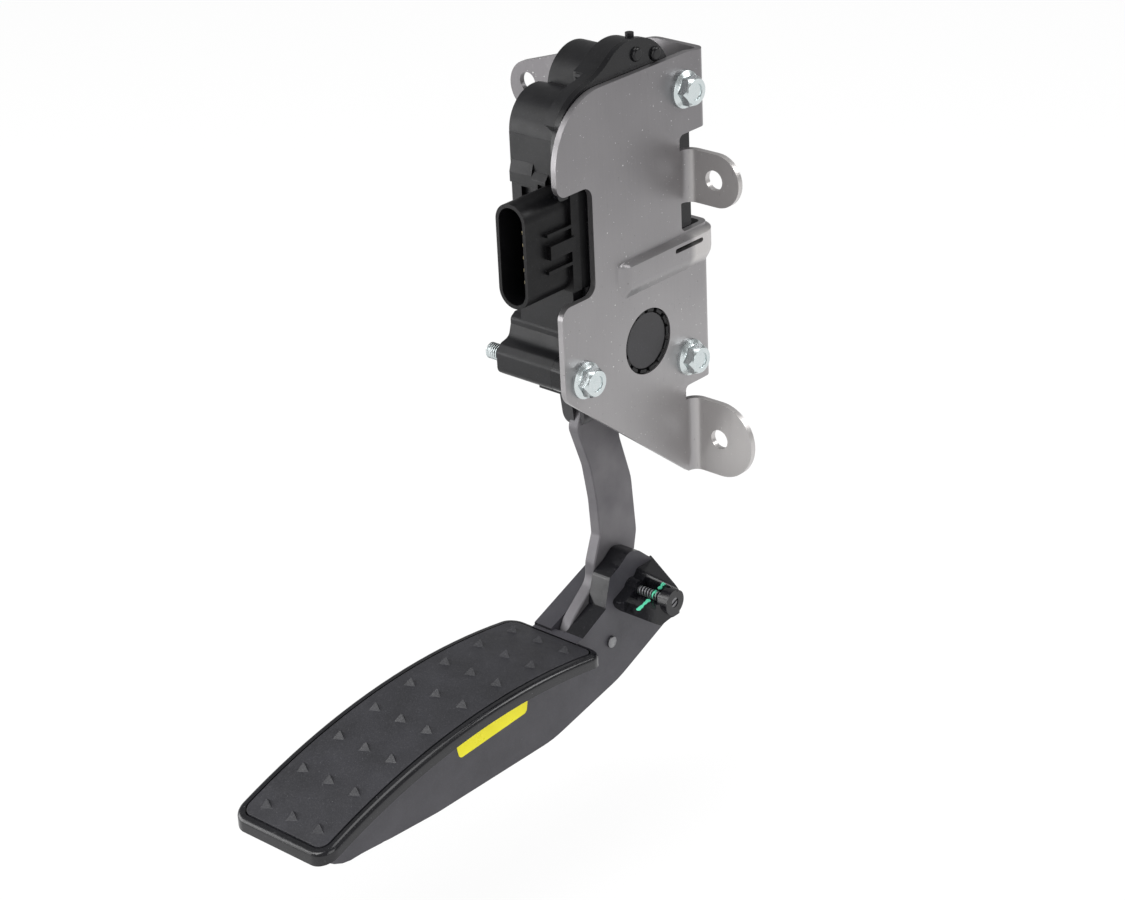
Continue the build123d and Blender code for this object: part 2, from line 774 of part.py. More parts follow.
def connector_pins():
    pins = []
    for x, z in connector_pin_places():
        blade = box_between(x - pin_size / 2, x + pin_size / 2, plug_rim_y + 8, board_y - board_t / 2, z - pin_size / 2, z + pin_size / 2)
        pins.append(blade.solid())
    return Compound(pins)


def sensor_board():
    top_z = plug_z + 23
    board = box_between(-37, block_seam_x - 1, board_y - board_t / 2, board_y + board_t / 2, board_low_z, top_z)
    chips = box_between(-35, -30, board_y, board_y + 3.2, board_low_z + 4, board_low_z + 10)
    chips = chips + box_between(-28, -23, board_y, board_y + 3.2, board_low_z + 4, board_low_z + 10)
    return board + chips


def arm_outline():
    """Bent bar seen along the pivot, from its top in the hub to its foot in the treadle."""
    return rounded([
        (-12.5, -15.5, 3),
        (-24.2, -45.0, 7),
        (-15.8, -68.0, 26),
        (-12.2, -88.0, 50),
        (-10.9, -107.0, 4),
        (-16.2, -121.0, 8),
        (-16.6, -130.5, 9),
        (-34.0, -144.3),
        (-38.5, -152.0, 6),
        (-30.0, -167.0, 7),
        (-8.0, -170.0, 10),
        (10.0, -152.0, 10),
        (13.9, -126.0, 8),
        (16.4, -114.5, 12),
        (13.9, -84.0, 30),
        (6.2, -59.0, 18),
        (5.4, -44.0, 8),
        (11.0, -15.5, 3),
    ])


def pedal_arm():
    arm = along_x(arm_outline(), arm_mid_x - arm_t / 2, arm_mid_x + arm_t / 2)
    return arm - rod_x(tread_pin_y, tread_pin_z, tread_pin_r + run_gap, -60, 0)


def pedal_hub():
    """Hub with its shaft ends, the tongue that grips the arm and the lever under the springs."""
    hub = rod_x(0, 0, hub_r, arm_mid_x - hub_w / 2, arm_mid_x + hub_w / 2)
    front = tongue_front_y
    tongue = along_x(rounded([
        (-12, 2),
        (front, -6, 4),
        (front, -24, 8),
        (front + 2.6, tongue_low_z + 2, 3),
        (front + 8, tongue_low_z - 1, 4),
        (8, -36, 4),
        (13, -6),
    ]), arm_mid_x - tongue_w / 2, arm_mid_x + tongue_w / 2)
    tongue = tongue & along_y(rounded([
        (arm_mid_x - tongue_w / 2, 10),
        (arm_mid_x + tongue_w / 2, 10),
        (arm_mid_x + tongue_w / 2, tongue_low_z + 3, tongue_w * 0.45),
        (arm_mid_x - tongue_w / 2, tongue_low_z - 1, tongue_w * 0.45),
    ]), -60, 60)
    hub = hub + tongue
    lever = rounded([
        (0, -10),
        (spring_y + 4, -6, 4),
        (spring_y + 8.5, lever_top_z - 3, 2),
        (spring_y + 8.5, lever_top_z, 1),
        (0, lever_top_z),
    ])
    hub = hub + along_x(lever, arm_mid_x - lever_w / 2, arm_mid_x + lever_w / 2)
    hub = hub + rod_x(0, 0, shaft_r, shaft_left_x + rest_gap, disc_x)
    disc_in_x = case_right_x + rest_gap
    hub = hub + rod_x(0, 0, disc_r, disc_in_x, disc_x)
    hub = hub - along_x(arm_outline(), arm_mid_x - arm_t / 2, arm_mid_x + arm_t / 2)
    groove = box_between(arm_mid_x, tongue_slot_x, front - 1, front + 7, tongue_low_z - 2, -28)
    return hub - groove


def pivot_bushes():
    """Two plain bushes pressed in the housing, one each side of the hub."""
    bore = shaft_r + run_gap
    left = rod_x(0, 0, shaft_r + bush_t, shaft_left_x, room_left_x) - rod_x(0, 0, bore, -60, 0)
    start = arm_mid_x + hub_w / 2 + side_gap
    right_in = max(start, block_seam_x - 3.0)
    right = rod_x(0, 0, shaft_r + bush_t, right_in, case_right_x) - rod_x(0, 0, bore, -60, 0)
    return Compound([left.solid(), right.solid()])


def spring_follower():
    """Cup on the lever that carries the lower ends of the springs."""
    base = rod_z(arm_mid_x, spring_y, seat_r, lever_top_z, lever_top_z + seat_t)
    peg = rod_z(arm_mid_x, spring_y, inner_coil_r - inner_wire_r - 0.6, lever_top_z, lever_top_z + seat_t + 6)
    return base + peg


def spring_seat():
    """Fixed cup against the top of the spring bore."""
    base = rod_z(arm_mid_x, spring_y, seat_r, spring_top_z - seat_t, spring_top_z)
    peg = rod_z(arm_mid_x, spring_y, inner_coil_r - inner_wire_r - 0.6, spring_top_z - seat_t - 6, spring_top_z)
    return base + peg


def coil(mean_r, wire_r, turns, z0, z1):
    """Round wire wound on a vertical helix."""
    low = z0 + wire_r
    high = z1 - wire_r
    path = Helix(pitch=(high - low) / turns, height=high - low, radius=mean_r)
    section = Plane(origin=path @ 0, z_dir=path % 0) * Circle(wire_r)
    return Pos(arm_mid_x, spring_y, low) * sweep(section, path=path)


def outer_spring():
    return coil(outer_coil_r, outer_wire_r, outer_turns, lever_top_z + seat_t, spring_top_z - seat_t)


def inner_spring():
    return coil(inner_coil_r, inner_wire_r, inner_turns, lever_top_z + seat_t, spring_top_z - seat_t)


def sensor_magnet():
    """Magnet block on the hub, turned towards the sensor chips."""
    block = box_between(arm_mid_x - 6, arm_mid_x + 6, -4, 4, hub_r * 0.9, hub_r + magnet_h)
    return Rot(magnet_lean, 0, 0) * block - rod_x(0, 0, hub_r, -60, 0)


def idle_stop():
    """Rubber pad in front of the tongue that sets the rest position."""
    return box_between(
        arm_mid_x - lever_w / 2,
        arm_mid_x + lever_w / 2,
        room_front_y,
        tongue_front_y - rest_gap,
        stop_low_z,
        stop_top_z,
    )


def pad_z(y):
    """Height of the treadle's top arc above a given Y."""
    return pad_apex_z - pad_arc_r + (pad_arc_r ** 2 - (y - pad_apex_y) ** 2) ** 0.5


def pad_band(y0, y1, over, under):
    """Side outline between two arcs that follow the treadle's top."""
    mid = (y0 + y1) / 2
    edges = [
        ThreePointArc((y0, pad_z(y0) + over), (mid, pad_z(mid) + over), (y1, pad_z(y1) + over)),
        Line((y1, pad_z(y1) + over), (y1, pad_z(y1) - under)),
        ThreePointArc((y1, pad_z(y1) - under), (mid, pad_z(mid) - under), (y0, pad_z(y0) - under)),
        Line((y0, pad_z(y0) - under), (y0, pad_z(y0) + over)),
    ]
    return make_face(edges)


def plan_block(width, y0, y1, corner):
    """Upright block with round corners that trims the treadle in plan."""
    shape = rounded([
        (arm_mid_x - width / 2, y0, corner),
        (arm_mid_x + width / 2, y0, corner),
        (arm_mid_x + width / 2, y1, corner),
        (arm_mid_x - width / 2, y1, corner),
    ])
    return along_z(shape, -220, -120)


def tread_pad():
    """Curved pad with a rolled rim and the tray that the mat lies in."""
    half = pad_w / 2
    pad = along_x(pad_band(pad_front_y, pad_rear_y, 0, pad_t), arm_mid_x - half, arm_mid_x + half)
    pad = pad & plan_block(pad_w, pad_front_y, pad_rear_y, pad_corner_r)
    top = pad.faces().sort_by(Axis.Z)[-1]
    pad = fillet(top.edges(), pad_round)
    tray_front = pad_front_y + mat_inset
    tray_rear = pad_rear_y - mat_inset
    tray = along_x(pad_band(tray_front, tray_rear, 6, mat_depth), arm_mid_x - half, arm_mid_x + half)
    return pad - (tray & plan_block(mat_w + 2 * mat_groove, tray_front, tray_rear, pad_corner_r - 3))


def screw_wing():
    """Ear beside the beam that holds the trim screw's collar, with an open pocket round the screw."""
    side_x = arm_mid_x + beam_w / 2
    front_y = screw_y - wing_front
    rear_y = screw_y + collar_r
    plan = along_z(rounded([
        (side_x - 3, front_y - 2.5),
        (collar_x0 + 1, front_y + 5.5, 3),
        (collar_x1, screw_y - 2, 2),
        (collar_x1, rear_y - 3, 2),
        (collar_x0, rear_y + 0.4, 3),
        (side_x - 3, rear_y + 13),
    ]), screw_z - 20, screw_z + 12)
    section = rounded([
        (front_y - 1, screw_z - 2.5, 1.5),
        (front_y + 0.6, screw_z - 6.5, 2),
        (front_y + 5.5, screw_z - 11, 3),
        (screw_y, screw_z - 10.8, 5),
        (rear_y, screw_z - 9.5, 4),
        (rear_y + 13, screw_z - 9.5),
        (rear_y + 13, screw_z + 8),
        (rear_y - 1.5, screw_z + 8, 3),
        (rear_y - 3.5, screw_z + 5),
    ])
    wing = plan & along_x(section, side_x - 3, collar_x1)
    low = screw_z - screw_r - wing_over
    pocket = along_x(rounded([
        (front_y - 8, low - wing_slope * (screw_y - front_y + 8)),
        (rear_y - 2.5, low + wing_slope * (rear_y - 2.5 - screw_y), 1.5),
        (rear_y - 2.5, screw_z + 30),
        (front_y - 8, screw_z + 30),
    ]), nut_x0, collar_x0)
    wing = wing - pocket
    collar = rod_x(screw_y, screw_z, collar_r, collar_x0, collar_x1)
    return wing + collar + rod_x(screw_y, screw_z, nut_r, side_x - 5, nut_x0 - rest_gap)


def treadle_body():
    left_x = arm_mid_x - beam_w / 2
    side_x = arm_mid_x + beam_w / 2
    slot_half = arm_t / 2 + slot_gap
    low_z = pad_z(pad_front_y) - pad_t
    beam = rounded([
        (pad_front_y + 2, low_z + 3, 3),
        (pad_front_y + 7, low_z + 0.3, 6),
        (-185.6, -192, 60),
        (-146, -194.2, 90),
        (-64.4, -193.7, 60),
        (-13.8, -182, 60),
        (beam_rear_y + 1, -164.8, 6),
        (beam_rear_y - 1, -146, 8),
        (17.8, -134.0, 8),
        (5.0, -134.0, 4),
        (-16, -137.0),
        (pad_rear_y + 2, -148.2),
    ])
    beam = beam - pad_band(pad_front_y - 9, pad_rear_y - 3, 60, pad_t * 0.5)
    body = tread_pad() + along_x(beam, left_x, side_x)
    far_cheek = rounded([
        (pad_rear_y - 1, -147.3),
        (pad_rear_y - 1, -160),
        (10, -160),
        (12, -134, 6),
        (4, -129.5, 6),
        (-3.9, -132),
    ])
    body = body + along_x(far_cheek, left_x, arm_mid_x - slot_half)
    boss = rounded([
        (-22, -139),
        (-18.1, -124, 3),
        (-10.3, -120.6, 4),
        (-3, -115.6, 5),
        (4.5, -118.0, 4),
        (13.2, -125.5, 6),
        (18.5, -136.5),
        (18.5, -150),
        (-16, -150),
    ])
    body = body + along_x(boss, arm_mid_x + slot_half, side_x)
    body = body + screw_wing()
    body = body - along_x(arm_outline(), arm_mid_x - slot_half, arm_mid_x + slot_half)
    slot = rounded([
        (pad_rear_y + 1.5, -110),
        (pad_rear_y + 1.5, -165, 4),
        (-26, -173, 6),
        (-6, -173, 6),
        (beam_rear_y + 4, -150),
        (beam_rear_y + 4, -110),
    ])
    body = body - along_x(slot, arm_mid_x - slot_half, arm_mid_x + slot_half)
    body = body - rod_x(screw_y, screw_z, screw_r + run_gap, arm_mid_x + arm_t / 2, collar_x1 + 1)
    return body - rod_x(tread_pin_y, tread_pin_z, tread_pin_r, left_x - 10, side_x + 10)


def tread_mat():
    front = pad_front_y + mat_inset + mat_groove
    rear = pad_rear_y - mat_inset - mat_groove
    half = mat_w / 2
    mat = along_x(pad_band(front, rear, 0.2, mat_depth), arm_mid_x - half, arm_mid_x + half)
    mat = mat & plan_block(mat_w, front, rear, pad_corner_r - 4)
    step = (bump_last_y - bump_first_y) / (bump_rows - 1)
    for row in range(bump_rows):
        y = bump_first_y + step * row
        for col in (-1, 0, 1):
            mat = mat + tread_bump(arm_mid_x + col * bump_pitch_x, y)
    return mat


def tread_bump(x, y):
    """Low pyramid on a triangle, its tip over the rear corner, square to the pad's arc."""
    lean = -(y - pad_apex_y) / pad_arc_r * 180 / pi
    half = bump_side / 2
    front = -bump_side * 0.289
    rear = bump_side * 0.577
    base = Polygon((-half, front), (half, front), (0, rear), align=None)
    tip = Pos(0, rear * 0.5, bump_h) * scale(base, by=0.14)
    spike = extrude(Plane.XY.offset(-1.0) * base, amount=1.0)
    spike = spike + loft([base, tip], ruled=True)
    return Pos(x, y, pad_z(y) + 0.15) * Rot(lean, 0, 0) * Rot(0, 0, bump_turn) * spike


def treadle_pin():
    """Cross pin that holds the arm's foot in the treadle."""
    reach = beam_w / 2 + pin_out
    return rod_x(tread_pin_y, tread_pin_z, tread_pin_r, arm_mid_x - reach, arm_mid_x + reach)


def trim_screw():
    """Slotted screw through the wing, its tip against the arm."""
    tip_x = arm_mid_x + arm_t / 2 + rest_gap
    end_x = collar_x1 - 0.4
    shank = rod_x(screw_y, screw_z, screw_r, tip_x, end_x)
    slot = box_between(-1, 1, -screw_r - 1, screw_r + 1, -0.5, 0.5)
    return shank - Pos(end_x, screw_y, screw_z) * Rot(atan2(wing_slope, 1) * 180 / pi, 0, 0) * slot


def side_label():
    """Plain label on the treadle's side."""
    face_x = arm_mid_x + beam_w / 2
    shape = rounded([
        (-131.7, -163, 1),
        (-129.6, -172.8, 2.5),
        (-82.2, -169.6, 2.5),
        (-80.6, -160, 1),
    ])
    return along_x(shape, face_x, face_x + label_t)


makers = {
    "mounting_bracket": mounting_bracket,
    "flange_bolts": flange_bolts,
    "bolt_sleeves": bolt_sleeves,
    "housing_body": housing_body,
    "housing_cover": housing_cover,
    "bearing_cap": bearing_cap,
    "connector_housing": connector_housing,
    "connector_pins": connector_pins,
    "sensor_board": sensor_board,
    "pivot_bushes": pivot_bushes,
    "spring_seat": spring_seat,
    "outer_spring": outer_spring,
    "inner_spring": inner_spring,
    "idle_stop": idle_stop,
    "pedal_hub": pedal_hub,
    "spring_follower": spring_follower,
    "sensor_magnet": sensor_magnet,
    "pedal_arm": pedal_arm,
    "treadle_body": treadle_body,
    "tread_mat": tread_mat,
    "treadle_pin": treadle_pin,
    "trim_screw": trim_screw,
    "side_label": side_label,
}

to_origin = Pos(-ear_hole_x, -ear_rear_y, -(ear_mid_z + low_hole_z) / 2)
for name, make in makers.items():
    export_step(to_origin * make(), f"parts/{name}.step")
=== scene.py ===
import json
import math

import bmesh
import bpy
import numpy as np
from mathutils import Matrix

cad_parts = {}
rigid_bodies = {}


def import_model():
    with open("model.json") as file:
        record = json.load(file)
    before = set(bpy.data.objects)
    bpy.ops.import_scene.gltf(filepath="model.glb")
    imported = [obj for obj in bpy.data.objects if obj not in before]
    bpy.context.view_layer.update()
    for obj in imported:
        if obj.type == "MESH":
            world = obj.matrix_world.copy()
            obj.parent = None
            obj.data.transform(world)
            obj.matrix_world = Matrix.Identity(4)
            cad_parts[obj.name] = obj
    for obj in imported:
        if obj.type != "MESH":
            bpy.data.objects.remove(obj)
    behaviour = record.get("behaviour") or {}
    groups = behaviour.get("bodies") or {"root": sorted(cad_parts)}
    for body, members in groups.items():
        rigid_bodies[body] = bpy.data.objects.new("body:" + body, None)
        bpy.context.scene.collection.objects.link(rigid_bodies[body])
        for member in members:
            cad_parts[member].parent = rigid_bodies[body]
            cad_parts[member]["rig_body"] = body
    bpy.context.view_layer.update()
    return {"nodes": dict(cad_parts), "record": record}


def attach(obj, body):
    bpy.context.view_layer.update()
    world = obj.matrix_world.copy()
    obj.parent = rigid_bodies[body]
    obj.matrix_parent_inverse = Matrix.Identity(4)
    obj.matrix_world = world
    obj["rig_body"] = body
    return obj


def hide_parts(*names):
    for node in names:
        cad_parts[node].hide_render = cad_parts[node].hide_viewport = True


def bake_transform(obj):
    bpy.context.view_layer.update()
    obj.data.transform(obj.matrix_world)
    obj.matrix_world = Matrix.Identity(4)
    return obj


# A suspended accelerator pedal: sheet steel bracket, black moulded housing, coated steel arm and a
# charcoal treadle with a rubber mat. Lengths are in millimetres about the pedal pivot, as the solids
# were drawn, and MM and ORIGIN take them to the frame's metres. X runs along the pivot, Y toward the
# firewall and Z up.

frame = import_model()
nodes = frame["nodes"]
slot_of = {part["node"]: part["material_slot"] for part in frame["record"]["subparts"]}

MM = 0.001
ORIGIN = np.array([15.6, 35.3, 7.2])

# pressed bead of the bracket, which stands in front of the plate's face at X = 0
BEAD_Y = -23.0
BEAD_TOP_Z = 44.0
BEAD_BAND_Z = (20.0, 49.0)
BEAD_FADE = 8.0
BEAD_SLANT = 0.12
BEAD_FIRST_CUT = 1.5
BEAD_CUTS = 9
RAISED_X = 0.03

# beam and pad of the treadle
ARM_X = -29.0
BEAM_HALF = 14.6
CHEEK_X = -14.5
PAD_R = 345.0
PAD_APEX = (-107.0, -143.6)
PAD_T = 8.2
PAD_REAR = -41.5
PAD_LIP_Y = -215.0
UNDER_BAND = 4.0
UNDER_RISE = 2.0
UNDER_RUN = 5.0

# stations of the beam's front foot: Y, the foot's Z, and the Z of the plain solid's foot
TOE = (
    (-225.5, -178.6, -178.0),
    (-219.0, -184.2, -180.2),
    (-214.0, -187.6, -181.9),
    (-209.0, -189.8, -183.7),
    (-204.0, -190.8, -185.4),
    (-197.0, -190.9, -187.9),
    (-191.0, -191.3, -190.0),
    (-184.0, -191.9, -191.6),
)
TOE_REACH = 1.2

# wing that carries the trim screw, and its pocket
WING_ROOT_X = -12.5
WING_RUN = 6.0
WING_FOOT_Y = -7.0
WING_FOOT_Z = -141.5
WING_FOOT_DRAW = 0.85
CROWN_Y = -2.0
CROWN_Z = -130.0
CROWN_DRAW = 0.8
CROWN_DRAW_ROOT = 0.45
POCKET_X = (-8.3, 8.7)
POCKET_Y = (-20.0, 1.6)
POCKET_DEPTH = 4.1
POCKET_SLOPE = 0.42
POCKET_BAND = 0.35
POCKET_FLOOR = (-17.0, -137.5)
POCKET_FLOOR_SLOPE = 0.05

# threads along X: centres as (Y, Z), and their X from end to end. The trim screw's thread is a
# little coarser and deeper than the real one, so that its turns show.
THREAD_LEAD = 0.35
TURN_ROWS = 8
TURN_COLUMNS = 40
BOLTS = ((-46.2, -3.2), (29.7, -18.5), (30.8, 116.4))
BOLT_R = 4.0
BOLT_ROOT_R = 3.35
BOLT_PITCH = 1.25
BOLT_THREAD = (-58.5, -48.5)
SCREW = (-2.8, -134.8)
SCREW_R = 2.5
SCREW_ROOT_R = 1.45
SCREW_PITCH = 1.7
SCREW_THREAD = (-7.9, 8.3)

# green marker paint: its X on the screw, and the (Y, Z) paths of the stripes beside it
PAINTED_THREAD = (-0.2, 2.6)
PAINT_IN_ROOT = 0.05
PAINT_ON_CREST = 0.06
PAINT_HALF_WIDTH = 1.0
FLOOR_STRIPE = ((-16.6, -137.4), (-4.6, -136.8))
FLOOR_STRIPE_X = (1.3, -0.6)
WALL_STRIPE = ((1.25, -133.6), (1.25, -128.8))
WALL_STRIPE_X = (0.4, 4.0)

# return springs, which bend between the fixed cup and the cup on the lever
SPRINGS = ("outer_spring", "inner_spring")

# broken edges: steps of each round, the angle from which an edge is broken, and the angle from which
# it stays crisp, with and without a round
BREAK_STEPS = 2
BREAK_ANGLE = 28.0
CRISP_ANGLE = 60.0
CRISP_ANGLE_PLAIN = 34.0


def to_frame(points):
    """Points in millimetres about the pivot, moved to the frame's origin and turned to metres."""
    return (np.asarray(points, float) - ORIGIN) * MM


def srgb(code):
    """Linear colour of an sRGB hex value: each channel up to 0.04045 is divided by 12.92, and above
    it has 0.055 added, is divided by 1.055 and raised to 2.4."""
    channels = np.array([int(code[i:i + 2], 16) for i in (1, 3, 5)]) / 255.0
    low = channels / 12.92
    high = ((channels + 0.055) / 1.055) ** 2.4
    return tuple(np.where(channels <= 0.04045, low, high)) + (1.0,)


# materials

def node(tree, kind, sockets=None, **settings):
    """One node with its settings; a socket given another node's output is linked to it."""
    made = tree.nodes.new(kind)
    for name, value in settings.items():
        setattr(made, name, value)
    for name, value in (sockets or {}).items():
        if isinstance(value, bpy.types.NodeSocket):
            tree.links.new(value, made.inputs[name])
        else:
            made.inputs[name].default_value = value
    return made


def between(value, low, high, out_low=0.0, out_high=1.0):
    """Sockets that carry a value from low and high to out_low and out_high, and hold it at both."""
    return {"Value": value, "From Min": low, "From Max": high, "To Min": out_low, "To Max": out_high}


def begin(name):
    """New material with an empty node tree, and the Object coordinates for its patterns."""
    material = bpy.data.materials.new(name)
    material.use_nodes = True
    tree = material.node_tree
    tree.nodes.clear()
    return material, tree, node(tree, "ShaderNodeTexCoord").outputs["Object"]


def patches(tree, place, size_mm, detail=3.0, rough=0.5, stretch=(1, 1, 1)):
    """Blotches about size_mm across, drawn out along each axis whose stretch is below one."""
    turned = node(tree, "ShaderNodeMapping", {"Vector": place, "Scale": stretch}).outputs["Vector"]
    sockets = {"Vector": turned, "Scale": 1.0 / (size_mm * MM), "Detail": detail, "Roughness": rough}
    return node(tree, "ShaderNodeTexNoise", sockets).outputs["Fac"]


def laid_over(tree, under, colour, pattern, low, high, most=1.0):
    """Colour laid over another one as a pattern passes from low to high, up to the share most."""
    share = node(tree, "ShaderNodeMapRange", between(pattern, low, high, 0.0, most)).outputs["Result"]
    sockets = {0: share, 6: under, 7: srgb(colour)}
    return node(tree, "ShaderNodeMix", sockets, data_type="RGBA").outputs[2]


def uneven_gloss(tree, pattern, rough, less, more):
    """Roughness that a pattern takes from rough - less to rough + more."""
    sockets = between(pattern, 0.3, 0.7, rough - less, rough + more)
    return node(tree, "ShaderNodeMapRange", sockets).outputs["Result"]


def surfaced(tree, colour, rough, metallic=0.0, specular=0.5, relief=None, depth_mm=0.0):
    """Surface on the material's output, with a pattern as relief of the given depth."""
    sockets = {"Base Color": colour, "Roughness": rough, "Metallic": metallic}
    sockets["Specular IOR Level"] = specular
    if relief:
        heights = {"Height": relief, "Distance": depth_mm * MM, "Strength": 1.0}
        sockets["Normal"] = node(tree, "ShaderNodeBump", heights).outputs["Normal"]
    surface = node(tree, "ShaderNodeBsdfPrincipled", sockets)
    node(tree, "ShaderNodeOutputMaterial", {"Surface": surface.outputs["BSDF"]})


def moulding(name, dark, light, rough, grain_mm=0.6, grain=0.02, specular=0.5, dust=0.12, rubs=0.25):
    """Plastic or rubber from a tool: one even tone with faint cloudy patches, fine grain, rubs of
    handling and scattered dust. The dust is drawn 0.55 mm wide, since finer dust wouldn't show."""
    material, tree, place = begin(name)
    cloud = patches(tree, place, 22.0)
    rub = patches(tree, place, 0.8, 4.0, 0.8)
    speck = patches(tree, place, 0.55, 1.0, 0.4)
    smear = patches(tree, place, 7.0, 4.0, 0.65)
    tone = laid_over(tree, srgb(dark), light, cloud, 0.3, 0.75)
    tone = laid_over(tree, tone, "#77767b", rub, 0.5, 0.78, rubs)
    tone = laid_over(tree, tone, "#a5a4a8", speck, 0.74, 0.80, dust)
    gloss = uneven_gloss(tree, smear, rough, 0.06, 0.08)
    texture = patches(tree, place, grain_mm, 2.0, 0.6)
    surfaced(tree, tone, gloss, specular=specular, relief=texture, depth_mm=grain)
    return material


# zones of the bracket's painted light and of its darker left ear, in metres in the frame, each from where
# it starts to where it is full:
# Z from crown to foot and X and Y at the right ears, where light is painted in, and X at the left ear
PAINTED_LIGHT_Z = (0.125, -0.03)
RIGHT_EAR_X = (-0.0155, -0.0120)
RIGHT_EAR_Y = (-0.007, -0.003)
LEFT_EAR_X = (-0.070, -0.085)


def satin_sheet(name, dark, light, rough):
    """Cold rolled stainless sheet with a satin face, which gives soft, blurred reflections. It has painted
    light: it is painted paler toward its foot and on the right ears. It is darker on the far left ear,
    and has fine upright rolling lines, hair scratches, small bright nicks and a few dark spots."""
    material, tree, place = begin(name)
    along = node(tree, "ShaderNodeSeparateXYZ", {"Vector": place}).outputs
    cloud = patches(tree, place, 60.0, 2.0)
    # painted light: the sheet is painted paler toward its foot, with random cloudy tone on top
    painted_light_down = node(tree, "ShaderNodeMapRange", between(along["Z"], *PAINTED_LIGHT_Z))
    waver = node(tree, "ShaderNodeMapRange", between(cloud, 0.3, 0.7, -0.12, 0.12))
    terms = {0: painted_light_down.outputs["Result"], 1: waver.outputs["Result"]}
    light_and_cloud = node(tree, "ShaderNodeMath", terms, operation="ADD").outputs[0]
    tone = laid_over(tree, srgb(dark), light, light_and_cloud, 0.0, 1.0)

    # painted light: the right ears are painted pale, as where they catch the light
    beside_plate = node(tree, "ShaderNodeMapRange", between(along["X"], *RIGHT_EAR_X))
    at_firewall = node(tree, "ShaderNodeMapRange", between(along["Y"], *RIGHT_EAR_Y))
    terms = {0: beside_plate.outputs["Result"], 1: at_firewall.outputs["Result"]}
    right_ear_light = node(tree, "ShaderNodeMath", terms, operation="MULTIPLY").outputs[0]
    tone = laid_over(tree, tone, "#d6d3d1", right_ear_light, 0.0, 1.0, 0.62)
    tone = laid_over(tree, tone, "#4c4a4c", along["X"], *LEFT_EAR_X, 0.7)

    rolling = patches(tree, place, 0.7, 3.0, 0.6, (1.0, 1.0, 0.03))
    scratch = patches(tree, place, 1.1, 4.0, 0.8, (1.0, 1.0, 0.12))
    nick = patches(tree, place, 0.9, 1.0)
    spot = patches(tree, place, 1.3, 1.0, 0.5, (1.0, 1.3, 0.9))
    tone = laid_over(tree, tone, "#d5d5d6", scratch, 0.66, 0.74, 0.22)
    tone = laid_over(tree, tone, "#4f4d4e", scratch, 0.36, 0.29, 0.3)
    tone = laid_over(tree, tone, "#f2f2f2", nick, 0.76, 0.79, 0.8)
    tone = laid_over(tree, tone, "#4c4a4b", spot, 0.25, 0.21, 0.45)
    gloss = uneven_gloss(tree, rolling, rough, 0.05, 0.06)
    surfaced(tree, tone, gloss, metallic=0.8, relief=rolling, depth_mm=0.010)
    return material


def bright_metal(name, colour, rough):
    """Plated or drawn metal: clear reflections, broken by slight patches in its gloss and tone."""
    material, tree, place = begin(name)
    patch = patches(tree, place, 3.0, 3.0, 0.6)
    tone = laid_over(tree, srgb(colour), "#ffffff", patch, 0.3, 0.75, 0.25)
    surfaced(tree, tone, uneven_gloss(tree, patch, rough, 0.06, 0.08), metallic=1.0)
    return material


def coated_metal(name, dark, light, rough, metallic=0.35, worn="#8d8b8e", wear=0.3):
    """Grey coating on hot rolled or cast metal: dull, with fine pits and spots rubbed pale."""
    material, tree, place = begin(name)
    cloud = patches(tree, place, 18.0)
    pit = patches(tree, place, 0.9, 3.0, 0.7)
    tone = laid_over(tree, srgb(dark), light, cloud, 0.3, 0.7)
    tone = laid_over(tree, tone, worn, pit, 0.62, 0.78, wear)
    gloss = uneven_gloss(tree, cloud, rough, 0.04, 0.08)
    surfaced(tree, tone, gloss, metallic=metallic, relief=pit, depth_mm=0.035)
    return material


def glint_painted_thread(name, centre, root_r, crest_r):
    """Black screw thread with its crests painted pale as glints: pale by the distance from its axis."""
    material, tree, place = begin(name)
    axis = tuple(to_frame((ORIGIN[0], *centre)))
    across = {0: place, 1: (0.0, 1.0, 1.0)}
    flat = node(tree, "ShaderNodeVectorMath", across, operation="MULTIPLY").outputs[0]
    apart = node(tree, "ShaderNodeVectorMath", {0: flat, 1: axis}, operation="DISTANCE").outputs["Value"]
    # painted glint: from here out to the crest the black thread is painted pale
    glint_from = (root_r + 0.35 * (crest_r - root_r)) * MM
    tone = laid_over(tree, srgb("#0b0b0d"), "#8f8f93", apart, glint_from, crest_r * MM)
    surfaced(tree, tone, 0.32, metallic=0.6)
    return material


def marker_paint(name, colour, pale):
    """Quick drying marker paint, brushed on by hand: streaky and a little glossy."""
    material, tree, place = begin(name)
    streak = patches(tree, place, 1.4, 3.0, 0.6)
    tone = laid_over(tree, srgb(colour), pale, streak, 0.35, 0.75, 0.4)
    surfaced(tree, tone, 0.35, relief=streak, depth_mm=0.05)
    return material


